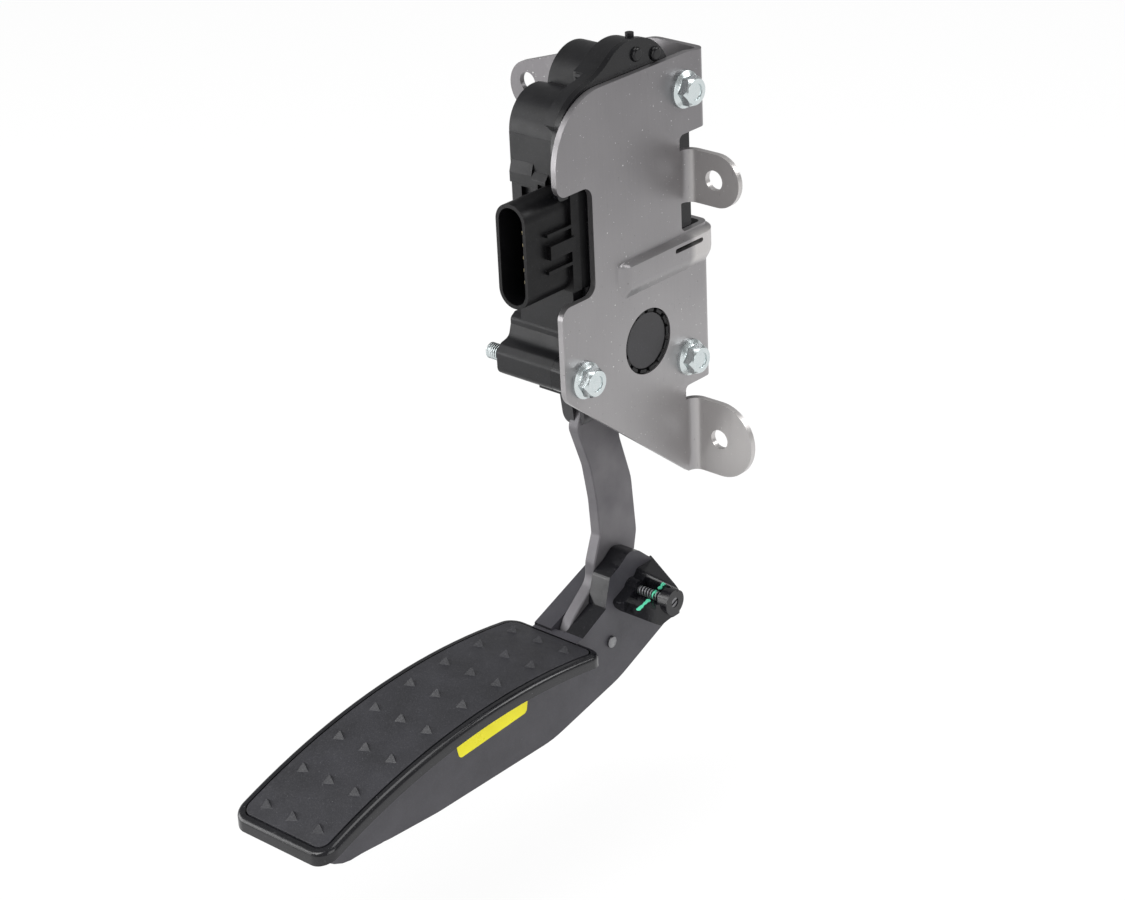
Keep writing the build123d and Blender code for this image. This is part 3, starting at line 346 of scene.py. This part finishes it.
finishes = {
    # grey sheet that blurs what it reflects
    "bracket_steel": satin_sheet("satin stainless sheet", "#7b797b", "#9f9d9e", 0.35),
    # bolts and sleeves: nearly white glints with a cool tint
    "zinc_steel": bright_metal("bright zinc plate", "#c9d2d3", 0.24),
    # deep black with a dull sheen
    "housing_plastic": moulding(
        "black glass filled nylon", "#0a0a0c", "#131316", 0.40, specular=0.3, rubs=0.05),
    # black with sharper highlights than the body beside it
    "cover_plastic": moulding(
        "black nylon, satin gloss", "#070709", "#0c0c0f", 0.22, 0.8, 0.006, 0.32, rubs=0.03),
    # warm pale metal down in the shroud
    "contact_brass": bright_metal("tin plated contact", "#b9a878", 0.3),
    # inside the housing: green board, cream bearings and grey wire
    "board": moulding("circuit board", "#1c4a2a", "#26603a", 0.4),
    "bearing_plastic": moulding("natural acetal", "#cfcabb", "#dcd8cc", 0.35),
    "spring_steel": bright_metal("drawn spring wire", "#7d7d7f", 0.3),
    # dark disc in the plate's round hole and the tongue below the housing, flecked with grey
    "hub_grey": coated_metal("dark grey hub", "#232224", "#302f32", 0.40, 0.1, "#77757a", 0.4),
    # dark dull block inside the housing
    "magnet": coated_metal("ferrite magnet", "#2c2c2e", "#3a3a3c", 0.6),
    # mid grey bar with a soft glint on its edges
    "arm_paint": coated_metal("grey coated bar", "#555357", "#6b696c", 0.42),
    # charcoal sides with a faint sheen
    "treadle_plastic": moulding(
        "charcoal glass filled nylon", "#37363b", "#424146", 0.42, specular=0.4, rubs=0.1),
    # dull black with grain and dust
    "mat_rubber": moulding("moulded black rubber", "#1c1c20", "#2a2a2f", 0.46, 0.7, 0.09, 0.5, 0.35, 0.22),
    # plain grey steel
    "pin_steel": bright_metal("plain steel", "#67676a", 0.34),
    # clean bright yellow film
    "label_film": moulding("yellow label film", "#e0d600", "#eae112", 0.3, 2.0, 0.004, 0.4, 0.0, 0.0),
}
marker_green = marker_paint("green marker paint", "#4fd2a6", "#9af0cf")
# blacker and duller than the housing round it
plug_black = moulding("black nylon of the plug", "#050506", "#0a0a0c", 0.42, specular=0.2, rubs=0.04)
# rim, cheeks' edges and wing: nearly black as painted shade, beside the paler sides of the same nylon, with
# a clear highlight along the rim
rim_gloss_and_shade = moulding("charcoal nylon, polished rim", "#0c0c0f", "#141418", 0.19, 0.8, 0.006, 0.5, 0.3, 0.08)
own_finish = {"connector_housing": plug_black}


# reshapes of copied solids, all on whole arrays of points

def pad_top(y):
    """Height of the pad's arched top at y: apex z - R + sqrt(R^2 - (y - apex y)^2)."""
    drop = np.clip(PAD_R ** 2 - (y - PAD_APEX[0]) ** 2, 0, None)
    return PAD_APEX[1] - PAD_R + np.sqrt(drop)


def faded_bead(places):
    """The pressed bead fades out over its front end: its rise is multiplied by t^2 (3 - 2 t) with
    t = (y - front - slant * (top - z)) / length, held between 0 and 1."""
    x, y, z = places.T
    t = (y - BEAD_Y - BEAD_SLANT * np.maximum(BEAD_TOP_Z - z, 0.0)) / BEAD_FADE
    t = np.clip(t, 0.0, 1.0)
    raised = (x > 0.0) & (z > BEAD_BAND_Z[0]) & (z < BEAD_BAND_Z[1])
    return np.stack([np.where(raised, x * t * t * (3.0 - 2.0 * t), x), y, z], axis=-1)


def shaped_treadle(places):
    """The beam's front foot is rounded out along TOE. The wing's foot and crown are drawn in by a
    share that grows with x, the pocket's floor is raised to the screw, and the underside of the pad's
    rim is raised beyond the cheek and at the lip, by a height that grows with the distance."""
    x, y, z = places.T
    toe_y, toe_z, solid_z = np.array(TOE).T
    foot = (y > toe_y[0] - 0.01) & (y < toe_y[-1] + 0.01)
    foot &= (z < np.interp(y, toe_y, solid_z) + TOE_REACH) & (np.abs(x - ARM_X) < BEAM_HALF)
    new_z = np.where(foot, np.minimum(z, np.interp(y, toe_y, toe_z)), z)

    out = np.clip((x - WING_ROOT_X) / WING_RUN, 0.0, 1.0)
    corner = (y > WING_FOOT_Y) & (z < WING_FOOT_Z)
    new_z = np.where(corner, WING_FOOT_Z + (z - WING_FOOT_Z) * (1.0 - WING_FOOT_DRAW * out), new_z)
    crown = (y > CROWN_Y) & (z > CROWN_Z) & (x > CHEEK_X + 0.05)
    drawn = np.maximum(CROWN_DRAW * out, CROWN_DRAW_ROOT)
    new_z = np.where(crown, CROWN_Z + (z - CROWN_Z) * (1.0 - drawn), new_z)

    solid_floor = SCREW[1] - POCKET_DEPTH + POCKET_SLOPE * (y - SCREW[0])
    in_pocket = (x > POCKET_X[0]) & (x < POCKET_X[1]) & (y > POCKET_Y[0]) & (y < POCKET_Y[1])
    in_pocket &= np.abs(z - solid_floor) < POCKET_BAND
    new_z = np.where(in_pocket, POCKET_FLOOR[1] + POCKET_FLOOR_SLOPE * (y - POCKET_FLOOR[0]), new_z)

    under = pad_top(y) - PAD_T + UNDER_RISE
    rim = (y < PAD_REAR + 0.5) & (z < under) & (z > under - UNDER_BAND)
    past_cheek = np.clip((x - CHEEK_X - 0.5) / UNDER_RUN, 0.0, 1.0)
    past_lip = np.clip((PAD_LIP_Y - y) / UNDER_RUN, 0.0, 1.0)
    new_z = np.where(rim, new_z + UNDER_RISE * np.maximum(past_cheek, past_lip), new_z)
    return np.stack([x, y, new_z], axis=-1)


def slimmed(axes, ends, full_r, root_r):
    """Maker of a reshape that slims round shanks along X to the thread's root between two ends, so
    that the thread laid over them keeps the full radius: off' = off * root / full."""
    def reshape(places):
        moved = places.copy()
        inside = (places[:, 0] > ends[0] + THREAD_LEAD / 2) & (places[:, 0] < ends[1] - THREAD_LEAD / 2)
        for centre in axes:
            off = moved[:, 1:] - np.array(centre)
            near = inside & (np.hypot(off[:, 0], off[:, 1]) < full_r + 0.1)
            moved[near, 1:] = np.array(centre) + off[near] * root_r / full_r
        return moved
    return reshape


def shank_stations(ends):
    """X of the cuts round a slimmed stretch: both ends, and a lead inside each."""
    return ends[0], ends[0] + THREAD_LEAD, ends[1] - THREAD_LEAD, ends[1]


reshapes = {
    "mounting_bracket": faded_bead,
    "treadle_body": shaped_treadle,
    "flange_bolts": slimmed(BOLTS, BOLT_THREAD, BOLT_R, BOLT_ROOT_R),
    "trim_screw": slimmed((SCREW,), SCREW_THREAD, SCREW_R, SCREW_ROOT_R),
}

# cuts that give a reshape its points: the axis, its stations, and whether only the bead is cut
bead_stations = np.linspace(BEAD_Y + BEAD_FIRST_CUT, BEAD_Y + BEAD_FADE, BEAD_CUTS)
cuts = {
    "mounting_bracket": (1, bead_stations, True),
    "treadle_body": (1, [row[0] for row in TOE], False),
    "flange_bolts": (0, shank_stations(BOLT_THREAD), False),
    "trim_screw": (0, shank_stations(SCREW_THREAD), False),
}

# width of each solid's broken edges
edge_breaks = {
    "mounting_bracket": 0.6,
    "flange_bolts": 0.2,
    "housing_body": 0.8,
    "housing_cover": 0.5,
    "bearing_cap": 0.25,
    "connector_housing": 0.35,
    "pedal_hub": 0.8,
    "pedal_arm": 0.6,
    "treadle_body": 0.7,
    "tread_mat": 0.2,
    "treadle_pin": 0.3,
    "trim_screw": 0.1,
    "outer_spring": 0.0,
    "inner_spring": 0.0,
}


# solids carried over, with their edges broken as on the real mouldings and pressings

def read_points(mesh):
    """A mesh's points, in millimetres about the pivot."""
    flat = np.empty(len(mesh.vertices) * 3)
    mesh.vertices.foreach_get("co", flat)
    return flat.reshape(-1, 3) / MM + ORIGIN


def write_points(mesh, places):
    """Puts points in millimetres about the pivot into a mesh."""
    mesh.vertices.foreach_set("co", to_frame(places).ravel())
    mesh.update()


def cut_across(cut, axis, station, raised_only):
    """Cuts a mesh through at a station on an axis, or only its faces in front of the plate."""
    if raised_only:
        faces = [face for face in cut.faces if face.calc_center_median().x / MM + ORIGIN[0] > RAISED_X]
        edges = list({edge for face in faces for edge in face.edges})
        verts = list({vert for face in faces for vert in face.verts})
    else:
        faces, edges, verts = cut.faces[:], cut.edges[:], cut.verts[:]
    normal = np.eye(3)[axis]
    place = normal * (station - ORIGIN[axis]) * MM
    geometry = verts + edges + faces
    bmesh.ops.bisect_plane(cut, geom=geometry, dist=1e-7, plane_co=tuple(place), plane_no=tuple(normal))


def smooth_by_angle(mesh, degrees):
    """Smooth faces, with edges sharper than the given angle kept crisp."""
    mesh.polygons.foreach_set("use_smooth", np.ones(len(mesh.polygons), bool))
    mesh.set_sharp_from_angle(angle=math.radians(degrees))
    mesh.update()


def break_edges(piece, width):
    """Rounds a piece's edges and lets its flats rule the shading beside them."""
    rounding = piece.modifiers.new("edge", "BEVEL")
    rounding.width = width * MM
    rounding.segments = BREAK_STEPS
    rounding.limit_method = "ANGLE"
    rounding.angle_limit = math.radians(BREAK_ANGLE)
    rounding.use_clamp_overlap = True
    rounding.harden_normals = False
    weighting = piece.modifiers.new("flats", "WEIGHTED_NORMAL")
    weighting.mode = "FACE_AREA"
    weighting.keep_sharp = True


def dressed(name, width):
    """Copy of a solid's mesh with its doubled points merged and flats joined, cut and reshaped where
    the solid has a reshape, and its edges broken. The springs have their places baked into their points
    and ride on no body, and every other piece rides on its solid's body."""
    mesh = nodes[name].data.copy()
    mesh.materials.clear()
    cut = bmesh.new()
    cut.from_mesh(mesh)
    bmesh.ops.remove_doubles(cut, verts=cut.verts, dist=2e-6)
    bmesh.ops.dissolve_limit(cut, angle_limit=math.radians(0.4), verts=cut.verts, edges=cut.edges)
    if name in cuts:
        axis, stations, raised_only = cuts[name]
        for station in stations:
            cut_across(cut, axis, station, raised_only)
    cut.to_mesh(mesh)
    cut.free()
    if name in reshapes:
        write_points(mesh, reshapes[name](read_points(mesh)))
    piece = bpy.data.objects.new(name + "_finish", mesh)
    bpy.context.scene.collection.objects.link(piece)
    slot = slot_of[name]
    mesh.materials.append(own_finish.get(name, finishes[slot]))
    smooth_by_angle(mesh, CRISP_ANGLE if width > 0 else CRISP_ANGLE_PLAIN)
    if width > 0:
        break_edges(piece, width)
    if name in SPRINGS:
        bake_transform(piece)
    else:
        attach(piece, nodes[name]["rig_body"])
    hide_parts(name)
    return piece


def gloss_and_shade_rim(piece):
    """Polished finish, painted dark as shade, on the pad's rim, where all points of a face lie in the pad's
    thickness below its arched top, on the faces behind the pad that don't look sideways, and on the wing."""
    mesh = piece.data
    mesh.materials.append(rim_gloss_and_shade)
    corners = np.empty(len(mesh.loops), int)
    mesh.loops.foreach_get("vertex_index", corners)
    starts = np.empty(len(mesh.polygons), int)
    mesh.polygons.foreach_get("loop_start", starts)
    normals = np.empty(len(mesh.polygons) * 3)
    mesh.polygons.foreach_get("normal", normals)

    def whole(points_in):
        """Faces whose points are all in."""
        return np.minimum.reduceat(points_in.astype(int)[corners], starts)

    x, y, z = read_points(mesh).T
    on_pad = whole((z > pad_top(y) - PAD_T - 0.3) & (y < PAD_REAR + 0.5))
    not_sideways = np.abs(normals.reshape(-1, 3)[:, 0]) < 0.7
    behind_pad = whole(y > PAD_REAR) * not_sideways
    on_wing = whole(x > CHEEK_X + 0.2)
    # painted shade: these faces get the darker glossy nylon, while the sideways faces keep the paler grey
    # of the same moulding
    polished_and_shaded = np.maximum.reduce([on_pad, behind_pad, on_wing])
    mesh.polygons.foreach_set("material_index", polished_and_shaded.astype(int))
    mesh.update()


# pieces that the solids don't have

def shell(name, grid, closed, material, body):
    """Smooth surface over a (u, v) grid of points in millimetres about the pivot; closed joins its
    last column to its first."""
    rows, columns = grid.shape[:2]
    index = np.arange(rows * columns).reshape(rows, columns)
    if closed:
        index = np.concatenate([index, index[:, :1]], axis=1)
    faces = np.stack([index[:-1, :-1], index[1:, :-1], index[1:, 1:], index[:-1, 1:]], axis=-1)
    mesh = bpy.data.meshes.new(name)
    mesh.from_pydata(to_frame(grid.reshape(-1, 3)).tolist(), [], faces.reshape(-1, 4).tolist())
    mesh.polygons.foreach_set("use_smooth", np.ones(len(mesh.polygons), bool))
    mesh.materials.append(material)
    piece = bpy.data.objects.new(name, mesh)
    bpy.context.scene.collection.objects.link(piece)
    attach(piece, body)
    return piece


def thread_radius(x, angle, pitch, root_r, crest_r):
    """Radius of a right hand thread: with p the fraction of (x / pitch - angle / 2 pi), it rises
    from the root to the crest as 1 - |2 p - 1|, flattened at both ends."""
    part = np.mod(x / pitch - angle / (2 * np.pi), 1.0)
    rise = np.clip((1.0 - np.abs(2.0 * part - 1.0)) * 1.25 - 0.125, 0.0, 1.0)
    return root_r + (crest_r - root_r) * rise


def thread(name, centre, ends, pitch, root_r, crest_r, material, body):
    """Thread along X round a centre (y, z): x = u, y = cy + r(u, v) cos v, z = cz + r(u, v) sin v,
    in TURN_ROWS rows for each turn and TURN_COLUMNS columns. It fades to its root over half a turn at
    each end."""
    rows = int(round((ends[1] - ends[0]) / pitch * TURN_ROWS)) + 1
    turn = np.arange(TURN_COLUMNS) * 2 * np.pi / TURN_COLUMNS
    x, angle = np.meshgrid(np.linspace(ends[0], ends[1], rows), turn, indexing="ij")
    fade = np.clip(np.minimum(x - ends[0], ends[1] - x) / (pitch / 2), 0.0, 1.0)
    r = root_r + (thread_radius(x, angle, pitch, root_r, crest_r) - root_r) * fade
    grid = np.stack([x, centre[0] + r * np.cos(angle), centre[1] + r * np.sin(angle)], axis=-1)
    return shell(name, grid, True, material, body)


def paint_stripe(name, path, x_ends, body, lift=0.12):
    """Hand drawn stripe along a (y, z) path: x = a + (b - a) u + v w(u), w swelling and thinning as
    1 + 0.22 sin(9 u) + 0.12 sin(23 u), laid proud by lift (1 - v^4), so that its edges are thin."""
    path = np.asarray(path, float)
    reach = np.concatenate([[0.0], np.cumsum(np.hypot(*np.diff(path, axis=0).T))])
    u = np.linspace(0.0, 1.0, 60)
    y = np.interp(u * reach[-1], reach, path[:, 0])
    z = np.interp(u * reach[-1], reach, path[:, 1])
    run = np.stack([np.gradient(y), np.gradient(z)], axis=-1)
    run = run / np.linalg.norm(run, axis=1, keepdims=True)
    v = np.linspace(-1.0, 1.0, 9)
    ends = np.clip(np.minimum(u, 1.0 - u) / 0.06, 0.25, 1.0)
    width = PAINT_HALF_WIDTH * (1.0 + 0.22 * np.sin(9 * u) + 0.12 * np.sin(23 * u)) * ends
    x = (x_ends[0] + (x_ends[1] - x_ends[0]) * u)[:, None] + v[None, :] * width[:, None]
    rise = lift * (1.0 - v[None, :] ** 4) * np.ones_like(x)
    grid = np.stack([x, y[:, None] + run[:, 1:] * -rise, z[:, None] + run[:, :1] * rise], axis=-1)
    return shell(name, grid, False, marker_green, body)


dressed_pieces = {}
for name, width in edge_breaks.items():
    dressed_pieces[name] = dressed(name, width)
gloss_and_shade_rim(dressed_pieces["treadle_body"])

for name, solid in nodes.items():
    if name in edge_breaks:
        continue
    slot = slot_of[name]
    solid.data.materials.clear()
    solid.data.materials.append(finishes[slot])

bolt_body = nodes["flange_bolts"]["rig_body"]
screw_body = nodes["trim_screw"]["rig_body"]
zinc = finishes["zinc_steel"]
for i, centre in enumerate(BOLTS):
    name = f"bolt_thread_{i}"
    thread(name, centre, BOLT_THREAD, BOLT_PITCH, BOLT_ROOT_R, BOLT_R, zinc, bolt_body)

# the trim screw's thread with painted glints: its crests are painted pale
worn = glint_painted_thread("screw thread with painted glints", SCREW, SCREW_ROOT_R, SCREW_R)
thread("screw_thread", SCREW, SCREW_THREAD, SCREW_PITCH, SCREW_ROOT_R, SCREW_R, worn, screw_body)
painted_root = SCREW_ROOT_R + PAINT_IN_ROOT
painted_crest = SCREW_R + PAINT_ON_CREST
thread(
    "screw_paint", SCREW, PAINTED_THREAD, SCREW_PITCH, painted_root, painted_crest,
    marker_green, screw_body)
paint_stripe("floor_paint", FLOOR_STRIPE, FLOOR_STRIPE_X, screw_body)
paint_stripe("wall_paint", WALL_STRIPE, WALL_STRIPE_X, screw_body)


# stage: white floor and background, soft lamps, and the camera; places are metres in the frame

FLOOR_Z = -0.25
FLOOR_HALF = 6.0
FLOOR_WHITE = 0.86
WORLD_LIGHT = 0.58
WORLD_SHINE = 0.34
MIDDLE = (-0.03, -0.1, -0.03)

# solved from the photograph, in degrees and millimetres about the pivot
CAMERA_TURN = 42.607
CAMERA_TIP = 25.468
CAMERA_ROLL = -2.699
CAMERA_PLACE = (829.9, -965.8, 551.3)
CAMERA_LENS = 93.78
CAMERA_SENSOR = 36.0


def stage_floor():
    """Wide white floor that keeps a faint shadow and reads as white where nothing shades it."""
    near, far = -FLOOR_HALF, FLOOR_HALF
    mesh = bpy.data.meshes.new("floor")
    around = [(near, near, FLOOR_Z), (far, near, FLOOR_Z), (far, far, FLOOR_Z), (near, far, FLOOR_Z)]
    mesh.from_pydata(around, [], [(0, 1, 2, 3)])
    floor = bpy.data.objects.new("floor", mesh)
    bpy.context.scene.collection.objects.link(floor)
    material, tree, _ = begin("white floor")
    rays = node(tree, "ShaderNodeLightPath").outputs
    either = {0: rays["Is Camera Ray"], 1: rays["Is Glossy Ray"]}
    seen = node(tree, "ShaderNodeMath", either, operation="MAXIMUM").outputs[0]
    either = {0: seen, 1: rays["Is Transmission Ray"]}
    seen = node(tree, "ShaderNodeMath", either, operation="MAXIMUM").outputs[0]
    share = node(tree, "ShaderNodeMath", {0: seen, 1: FLOOR_WHITE}, operation="MULTIPLY").outputs[0]
    white = node(tree, "ShaderNodeEmission", {"Color": (1, 1, 1, 1), "Strength": 1.0}).outputs[0]
    matte = node(tree, "ShaderNodeBsdfDiffuse", {"Color": (0.9, 0.9, 0.9, 1)}).outputs[0]
    both = node(tree, "ShaderNodeMixShader", {0: share, 1: matte, 2: white}).outputs[0]
    node(tree, "ShaderNodeOutputMaterial", {"Surface": both})
    mesh.materials.append(material)


def stage_world():
    """White to the camera, a plain soft grey as light and a darker grey in reflections."""
    world = bpy.data.worlds.new("studio")
    bpy.context.scene.world = world
    world.use_nodes = True
    tree = world.node_tree
    tree.nodes.clear()
    rays = node(tree, "ShaderNodeLightPath").outputs
    either = {0: rays["Is Camera Ray"], 1: rays["Is Transmission Ray"]}
    seen = node(tree, "ShaderNodeMath", either, operation="MAXIMUM").outputs[0]
    levels = between(rays["Is Glossy Ray"], 0.0, 1.0, WORLD_LIGHT, WORLD_SHINE)
    unseen = node(tree, "ShaderNodeMapRange", levels).outputs["Result"]
    either = {0: seen, 1: unseen}
    level = node(tree, "ShaderNodeMath", either, operation="MAXIMUM").outputs[0]
    light = node(tree, "ShaderNodeBackground", {"Color": (1, 1, 1, 1), "Strength": level})
    node(tree, "ShaderNodeOutputWorld", {"Surface": light.outputs[0]})


def lamp(name, place, target, size, power):
    """Square soft lamp that faces a target."""
    data = bpy.data.lights.new(name, "AREA")
    data.shape = "SQUARE"
    data.size = size
    data.energy = power
    made = bpy.data.objects.new(name, data)
    bpy.context.scene.collection.objects.link(made)
    away = np.subtract(place, target)
    away = away / np.linalg.norm(away)
    side = np.cross((0.0, 0.0, 1.0), away)
    side = side / np.linalg.norm(side)
    pose = np.eye(4)
    pose[:3, 0] = side
    pose[:3, 1] = np.cross(away, side)
    pose[:3, 2] = away
    pose[:3, 3] = place
    made.matrix_world = Matrix(pose.tolist())


def stage_camera():
    """Camera with its axes worked out from the turn about Z, the tip down and the roll."""
    turn, tip, roll = math.radians(CAMERA_TURN), math.radians(CAMERA_TIP), math.radians(CAMERA_ROLL)
    level = np.array([math.cos(turn), math.sin(turn), 0.0])
    ahead = np.array([-math.sin(turn) * math.cos(tip), math.cos(turn) * math.cos(tip), -math.sin(tip)])
    down = np.cross(ahead, level)
    pose = np.eye(4)
    pose[:3, 0] = math.cos(roll) * level - math.sin(roll) * down
    pose[:3, 1] = -math.sin(roll) * level - math.cos(roll) * down
    pose[:3, 2] = -ahead
    pose[:3, 3] = to_frame(CAMERA_PLACE)
    data = bpy.data.cameras.new("camera")
    data.lens = CAMERA_LENS
    data.sensor_width = CAMERA_SENSOR
    data.sensor_fit = "HORIZONTAL"
    data.clip_end = 20.0
    camera = bpy.data.objects.new("camera", data)
    camera.matrix_world = Matrix(pose.tolist())
    bpy.context.scene.collection.objects.link(camera)
    bpy.context.scene.camera = camera


stage_floor()
stage_world()
lamp("key", (-0.9, -1.6, 1.5), MIDDLE, 1.2, 26.0)
lamp("fill", (1.8, -0.9, 0.7), MIDDLE, 1.4, 13.0)
lamp("side", (-0.95, -0.75, -0.02), (0.0, 0.0, 0.0), 0.8, 9.0)
lamp("top", (0.1, 0.2, 1.9), MIDDLE, 1.4, 16.0)
lamp("edge", (0.7, 0.85, 0.7), MIDDLE, 0.5, 4.0)
stage_camera()
bpy.context.scene.view_settings.view_transform = "Standard"
